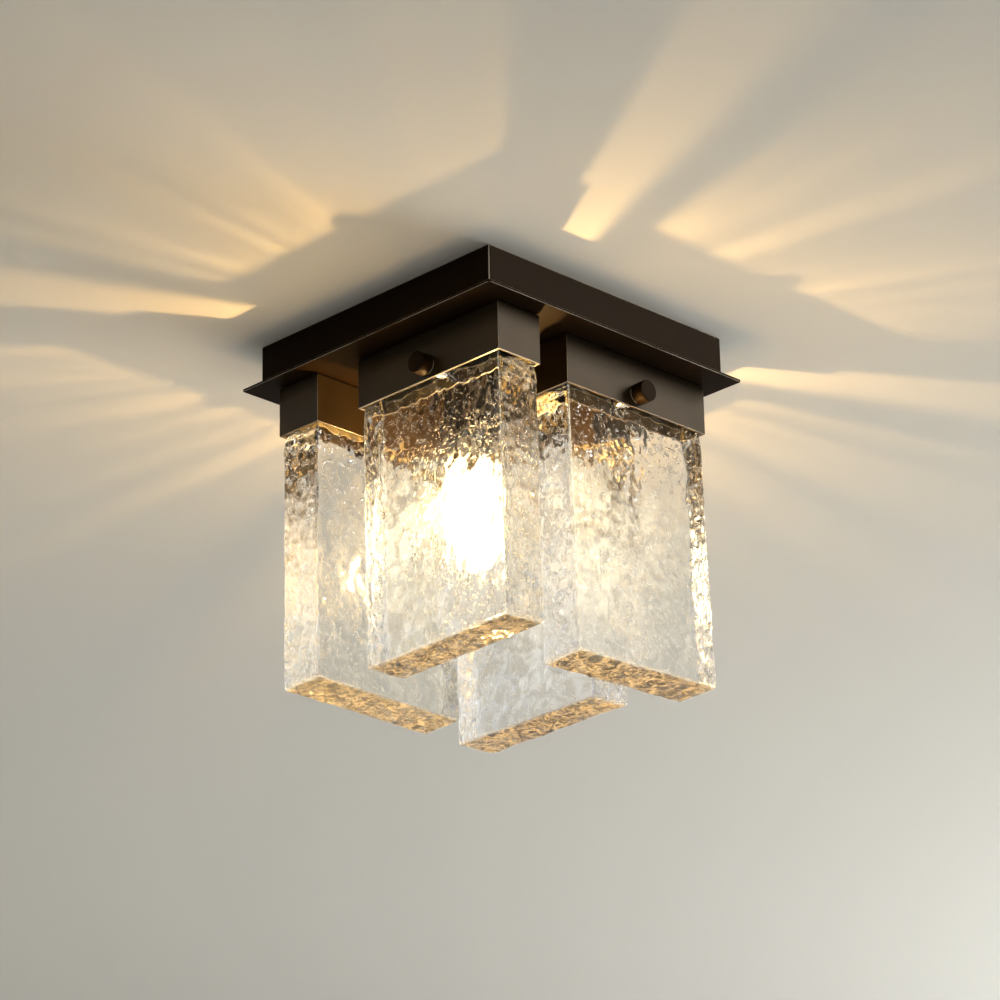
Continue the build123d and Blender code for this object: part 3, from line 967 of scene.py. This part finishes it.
def cast_skin(bm, side, low, high, long_axis, mouth, glass):
    """Rounds the block's edges, then works waves, ripples and dimples into its skin."""
    seed = NOISE_STEP * (SIDES.index(side) + 1)
    thin_axis = 1 - long_axis
    inner_low = low + Vector((glass.edge,) * 3)
    inner_high = high - Vector((glass.edge,) * 3)
    lean_x, lean_y, slope_x, slope_y = GLASS_LEAN[side]
    centre = (low + high) / 2
    broad_layer = bm.verts.layers.float.new("broad")
    foot_layer = bm.verts.layers.float.new("foot")
    arris_layer = bm.verts.layers.float.new("arris")
    for vert in bm.verts:
        core = Vector([min(max(vert.co[i], inner_low[i]), inner_high[i]) for i in range(3)])
        out = (vert.co - core).normalized()
        place = core + out * glass.edge
        hung = min(1.0, max(0.0, (mouth - place.z) / MOUTH_FADE))
        broad = out[thin_axis] ** 2
        ends = 1 - broad
        vert[broad_layer] = END_LIGHT + (1 - END_LIGHT) * broad
        vert[foot_layer] = max(0.0, -out.z) ** 2
        vert[arris_layer] = min(1.0, 2 - 2 * max(out.x * out.x, out.y * out.y, out.z * out.z))
        swell = noise.noise(place / glass.swell_width + seed)
        drawn_out = Vector((place.x, place.y, RIPPLE_UPRIGHT * place.z))
        drawn_out = drawn_out / glass.ripple_width + 2 * seed
        ripple = noise.fractal(drawn_out, RIPPLE_FALL, RIPPLE_STEP, RIPPLE_LAYERS)
        nearest = noise.voronoi(place / glass.dimple_width + 3 * seed)[0][0]
        dimple = min(1.0, nearest) - DIMPLE_MIDDLE
        rise = glass.bulge * out[long_axis] ** 2
        rise -= 0.5 * glass.swell_depth * swell
        rise -= glass.ripple_depth * ripple * (END_RIPPLE + (1 - END_RIPPLE) * broad)
        rise -= glass.dimple_depth * dimple * ends
        place += out * rise * hung
        fall = max(0.0, (mouth - place.z) / (mouth - low.z))
        place.x += fall * lean_x * MM
        place.y += fall * lean_y * MM
        sink = slope_x * (place.x - centre.x) + slope_y * (place.y - centre.y)
        place.z -= fall * sink
        vert.co = place


def add_seeds(bm, side, low, high, glass):
    """Adds small air seeds inside the glass, each a closed skin that faces its own air."""
    pick = random.Random(SIDES.index(side) + SEED_DRAW)
    inner_low = low + SEED_MARGIN
    inner_high = high - SEED_MARGIN
    seeds = bmesh.new()
    for _ in range(glass.seed_count):
        place = Vector([pick.uniform(inner_low[i], inner_high[i]) for i in range(3)])
        radius = glass.seed_radius * (SEED_LEAST + (1 - SEED_LEAST) * pick.random() ** 4)
        stretch = Matrix.Diagonal(
            (pick.uniform(0.8, 1.6), pick.uniform(0.8, 1.6), pick.uniform(0.7, 1.8), 1)
        )
        turn = Matrix.Rotation(pick.uniform(0, math.pi), 4, "X")
        turn = turn @ Matrix.Rotation(pick.uniform(0, math.pi), 4, "Z")
        put = Matrix.Translation(place) @ turn @ stretch
        bmesh.ops.create_icosphere(seeds, subdivisions=2, radius=radius, matrix=put)
    bmesh.ops.reverse_faces(seeds, faces=seeds.faces)
    cloud = bpy.data.meshes.new("seeds")
    seeds.to_mesh(cloud)
    seeds.free()
    bm.from_mesh(cloud)
    bpy.data.meshes.remove(cloud)


class LIGHT_OT_glass_blocks(bpy.types.Operator):
    """Casts the four rippled glass blocks"""

    bl_idname = "ceiling_light.glass_blocks"
    bl_label = "Glass blocks"

    def execute(self, context):
        glass = context.scene.light_glass
        for side in SIDES:
            low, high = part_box(f"glass_block_{side}")
            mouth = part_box(f"glass_holder_{side}")[0].z
            long_axis = 0 if high.x - low.x > high.y - low.y else 1
            thin_axis = 1 - long_axis
            screw_low, screw_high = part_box(f"knob_screw_{side}")
            bm = lattice_block(low, high, glass.cell)
            pierce(bm, (screw_low + screw_high) / 2, thin_axis, CROSS_HOLE)
            bmesh.ops.recalc_face_normals(bm, faces=bm.faces)
            cast_skin(bm, side, low, high, long_axis, mouth, glass)
            add_seeds(bm, side, low, high, glass)
            mesh = mesh_from(bm, f"cast_block_{side}", GLASS_SHADE)
            new_piece(f"cast_block_{side}", mesh, "cast_clear_glass", "cast_glass", f"glass_block_{side}")
        return {"FINISHED"}


class LIGHT_OT_knobs(bpy.types.Operator):
    """Turns the four knobs with their screws"""

    bl_idname = "ceiling_light.knobs"
    bl_label = "Knobs"

    def execute(self, context):
        low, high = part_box("knob_screw_left")
        washer_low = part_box("knob_washer_left")[0]
        reach = high.x - low.x
        head = washer_low.x - low.x
        radius = (high.y - low.y) / 2
        shank = 2.5 * MM
        chamfer = 0.9 * MM
        outline = [
            (0.0, 0.0),
            (radius, 0.0),
            (radius, head),
            (shank, head),
            (shank, reach - chamfer),
            (shank - chamfer, reach),
            (0.0, reach),
        ]
        lie_down = Matrix.Rotation(math.pi / 2, 4, "Y")
        put = Matrix.Translation((low.x, (low.y + high.y) / 2, (low.z + high.z) / 2))
        for quarter, side in enumerate(SIDES):
            bm = spun(outline, round_width=KNOB_EDGE)
            turn = Matrix.Rotation(quarter * math.pi / 2, 4, "Z")
            bmesh.ops.transform(bm, matrix=turn @ put @ lie_down, verts=bm.verts)
            mesh = mesh_from(bm, f"turned_knob_{side}", SHEET_SHADE)
            # The knobs take the matt coat, whose darker colour is painted shade.
            new_piece(f"turned_knob_{side}", mesh, "matt_coat_with_painted_shade", "black_metal", f"knob_screw_{side}")
        return {"FINISHED"}


def arc(start, bulge, end, count):
    """Gives points of (radius, height) on a smooth bow from start to end, drawn towards bulge."""
    points = []
    for step in range(count + 1):
        share = step / count
        keep = 1 - share
        points.append(
            tuple(
                keep * keep * first + 2 * share * keep * middle + share * share * last
                for first, middle, last in zip(start, bulge, end)
            )
        )
    return points


class LIGHT_OT_bulb(bpy.types.Operator):
    """Blows the candle bulb's globe and lights it"""

    bl_idname = "ceiling_light.bulb"
    bl_label = "Bulb"

    def execute(self, context):
        low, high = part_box("bulb_globe")
        widest = (high.x - low.x) / 2
        neck = 11.5 * MM
        nose = 4.0 * MM
        wall = 1.0 * MM
        shoulder = high.z - 13 * MM
        belly = high.z - 24 * MM
        taper = belly - 22 * MM
        nose_start = low.z + 2.2 * MM
        outer = arc((neck, high.z), (widest, shoulder), (widest, belly), count=16)
        outer += arc((widest, belly), (widest, taper), (nose, nose_start), count=24)[1:]
        outer += arc((nose, nose_start), (0.5 * nose, low.z), (0.0, low.z), count=5)[1:]
        inner = [
            (max(0.0, radius - wall), height + wall if height < belly else height)
            for radius, height in outer
        ]
        inner[0] = (neck - wall, high.z)
        bm = spun(outer + inner[::-1] + [outer[0]])
        mesh = mesh_from(bm, "blown_globe", GLOBE_SHADE)
        piece = new_piece("blown_globe", mesh, "lit_opal_glass", "opal_glass", "bulb_globe")
        piece.active_material.cycles.emission_sampling = "FRONT"
        piece.visible_shadow = False
        lamp = bpy.data.lights.new("filament", "POINT")
        lamp.energy = context.scene.light_finish.filament_power
        lamp.color = context.scene.light_finish.filament
        lamp.shadow_soft_size = 3 * MM
        filament = bpy.data.objects.new("filament", lamp)
        filament.location = (0, 0, (low.z + high.z) / 2)
        context.scene.collection.objects.link(filament)
        return {"FINISHED"}


# Starts of the names of the nodes that have a piece of their own
OWN_PIECES = (
    "canopy_pan",
    "base_plate",
    "lamp_cup",
    "glass_holder_",
    "glass_block_",
    "knob_screw_",
    "bulb_globe",
)


class LIGHT_OT_fittings(bpy.types.Operator):
    """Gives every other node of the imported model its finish"""

    bl_idname = "ceiling_light.fittings"
    bl_label = "Fittings"

    def execute(self, context):
        for node, piece in frame["nodes"].items():
            name = "milky_silicone" if node == "screw_sleeves" else SLOT_FINISHES[node_slots[node]]
            piece.material_slots[0].material = finish(name)
            if not node.startswith(OWN_PIECES):
                smooth_copy(node, name)
        return {"FINISHED"}


def stage_plane(name, side, height, facing, build):
    """Adds a square plane of the stage, facing up or down."""
    bm = bmesh.new()
    bmesh.ops.create_grid(bm, x_segments=1, y_segments=1, size=side / 2)
    bmesh.ops.translate(bm, vec=(0, 0, height), verts=bm.verts)
    if facing < 0:
        bmesh.ops.reverse_faces(bm, faces=bm.faces)
    mesh = bpy.data.meshes.new(name)
    bm.to_mesh(mesh)
    bm.free()
    mesh.materials.append(finish_of(name, build))
    plane = bpy.data.objects.new(name, mesh)
    bpy.context.scene.collection.objects.link(plane)


# Matt wall paint, rolled on: pale and even. It is seen from below only, so that a view from
# above looks into the canopy, and the lamp above it shines through.
def ceiling_paint(tree, place):
    stage = bpy.context.scene.light_stage
    roller = add(tree, "ShaderNodeTexNoise", {"Vector": place, "Scale": per_metre(4), "Detail": 3.0})
    relief = add(
        tree, "ShaderNodeBump", {"Strength": 1.0, "Distance": 0.04 * MM, "Height": roller.outputs[0]}
    )
    paint = add(
        tree,
        "ShaderNodeBsdfPrincipled",
        {"Base Color": opaque(stage.ceiling), "Roughness": 0.9, "Normal": relief.outputs[0]},
    )
    clear = add(tree, "ShaderNodeBsdfTransparent")
    behind = add(tree, "ShaderNodeNewGeometry")
    path = add(tree, "ShaderNodeLightPath")
    unseen = add(
        tree,
        "ShaderNodeMath",
        {0: behind.outputs["Backfacing"], 1: path.outputs["Is Shadow Ray"]},
        operation="MAXIMUM",
    )
    return add(
        tree,
        "ShaderNodeMixShader",
        {0: unseen.outputs[0], 1: paint.outputs[0], 2: clear.outputs[0]},
    )


def seen_directly(tree):
    """Gives 1 for rays from the camera, from a shine or through glass, and 0 for the rest."""
    path = add(tree, "ShaderNodeLightPath")
    mirrored = add(
        tree,
        "ShaderNodeMath",
        {0: path.outputs["Is Glossy Ray"], 1: path.outputs["Is Transmission Ray"]},
        operation="MAXIMUM",
    )
    seen = add(
        tree,
        "ShaderNodeMath",
        {0: path.outputs["Is Camera Ray"], 1: mirrored.outputs[0]},
        operation="MAXIMUM",
    )
    return seen.outputs[0]


# Smooth pale floor, matt. It lies far below the light, so it is lifted for the eye alone.
def floor_paint(tree, place):
    stage = bpy.context.scene.light_stage
    paint = add(
        tree, "ShaderNodeBsdfPrincipled", {"Base Color": opaque(stage.floor), "Roughness": 0.8}
    )
    lift = add(
        tree, "ShaderNodeMath", {0: seen_directly(tree), 1: stage.seen_share}, operation="MULTIPLY"
    )
    lifted = add(tree, "ShaderNodeEmission", {"Color": opaque(stage.floor), "Strength": lift.outputs[0]})
    return add(tree, "ShaderNodeAddShader", {0: paint.outputs[0], 1: lifted.outputs[0]})


def soft_lamp(name, place, width, height, power, colour):
    """Adds a rectangular soft lamp that faces the light."""
    lamp = bpy.data.lights.new(name, "AREA")
    lamp.shape = "RECTANGLE"
    lamp.size = width
    lamp.size_y = height
    lamp.energy = power
    lamp.color = linear(colour)
    piece = bpy.data.objects.new(name, lamp)
    bpy.context.scene.collection.objects.link(piece)
    piece.location = place
    piece.rotation_euler = (LAMP_AIM - Vector(place)).to_track_quat("-Z", "Y").to_euler()


def even_surround(stage):
    """Gives a world of even light, paler where it is seen directly."""
    world = bpy.data.worlds.new("surround")
    world.use_nodes = True
    tree = world.node_tree
    tree.nodes.clear()
    pale = [part + stage.seen_share * shade for part, shade in zip(stage.surround, stage.floor)]
    shown = add(
        tree,
        "ShaderNodeMix",
        {0: seen_directly(tree), 6: opaque(stage.surround), 7: opaque(pale)},
        data_type="RGBA",
    )
    even = add(tree, "ShaderNodeBackground", {"Color": shown.outputs[2], "Strength": 1.0})
    add(tree, "ShaderNodeOutputWorld", {"Surface": even.outputs[0]})
    return world


def photo_camera():
    """Gives a camera that stands where the photograph was taken."""
    camera = bpy.data.cameras.new("photo_camera")
    camera.lens = CAMERA_LENS
    camera.sensor_width = CAMERA_SENSOR
    camera.sensor_fit = "HORIZONTAL"
    forward = CAMERA_FORWARD.normalized()
    right = (CAMERA_RIGHT - forward * CAMERA_RIGHT.dot(forward)).normalized()
    up = right.cross(forward)
    turn = Matrix((right, up, -forward)).transposed().to_4x4()
    piece = bpy.data.objects.new("photo_camera", camera)
    piece.matrix_world = Matrix.Translation(CAMERA_PLACE) @ turn
    return piece


class LIGHT_OT_stage(bpy.types.Operator):
    """Sets the ceiling, the floor, the lamps and the camera"""

    bl_idname = "ceiling_light.stage"
    bl_label = "Stage"

    def execute(self, context):
        scene = context.scene
        stage = scene.light_stage
        stage_plane("ceiling_paint", CEILING_SIDE, CEILING_HEIGHT, facing=-1, build=ceiling_paint)
        stage_plane("floor_paint", FLOOR_SIDE, FLOOR_HEIGHT, facing=1, build=floor_paint)
        soft_lamp(
            "key_lamp",
            place=(2.3, -0.2, -0.6),
            width=1.2,
            height=0.8,
            power=stage.key_power,
            colour="#f9fbf7",
        )
        soft_lamp(
            "gloss_lamp",
            place=(1.35, -1.45, 0.7),
            width=0.9,
            height=0.9,
            power=stage.gloss_power,
            colour="#ffe9cc",
        )
        soft_lamp(
            "wash_lamp",
            place=(0, 0, -2.3),
            width=4.0,
            height=4.0,
            power=stage.wash_power,
            colour="#eff3f8",
        )
        scene.world = even_surround(stage)
        scene.camera = photo_camera()
        scene.collection.objects.link(scene.camera)
        scene.view_settings.view_transform = "Standard"
        return {"FINISHED"}


class LIGHT_PT_panel(bpy.types.Panel):
    """Lists the steps that dress the light"""

    bl_label = "Ceiling Light"
    bl_idname = "LIGHT_PT_panel"
    bl_space_type = "VIEW_3D"
    bl_region_type = "UI"
    bl_category = "Ceiling Light"

    def draw(self, context):
        for step in STEPS:
            self.layout.operator(step.bl_idname)


STEPS = (
    LIGHT_OT_stage,
    LIGHT_OT_fittings,
    LIGHT_OT_sheet_metal,
    LIGHT_OT_glass_blocks,
    LIGHT_OT_knobs,
    LIGHT_OT_bulb,
)
SETTINGS = {"light_glass": GlassSettings, "light_finish": FinishSettings, "light_stage": StageSettings}


def register():
    for name, kind in SETTINGS.items():
        bpy.utils.register_class(kind)
        setattr(bpy.types.Scene, name, PointerProperty(type=kind))
    for kind in (*STEPS, LIGHT_PT_panel):
        bpy.utils.register_class(kind)


def unregister():
    for kind in (LIGHT_PT_panel, *reversed(STEPS)):
        bpy.utils.unregister_class(kind)
    for name, kind in SETTINGS.items():
        delattr(bpy.types.Scene, name)
        bpy.utils.unregister_class(kind)


def main():
    register()
    bpy.ops.ceiling_light.stage()
    bpy.ops.ceiling_light.fittings()
    bpy.ops.ceiling_light.sheet_metal()
    bpy.ops.ceiling_light.glass_blocks()
    bpy.ops.ceiling_light.knobs()
    bpy.ops.ceiling_light.bulb()


if __name__ == "__main__":
    main()
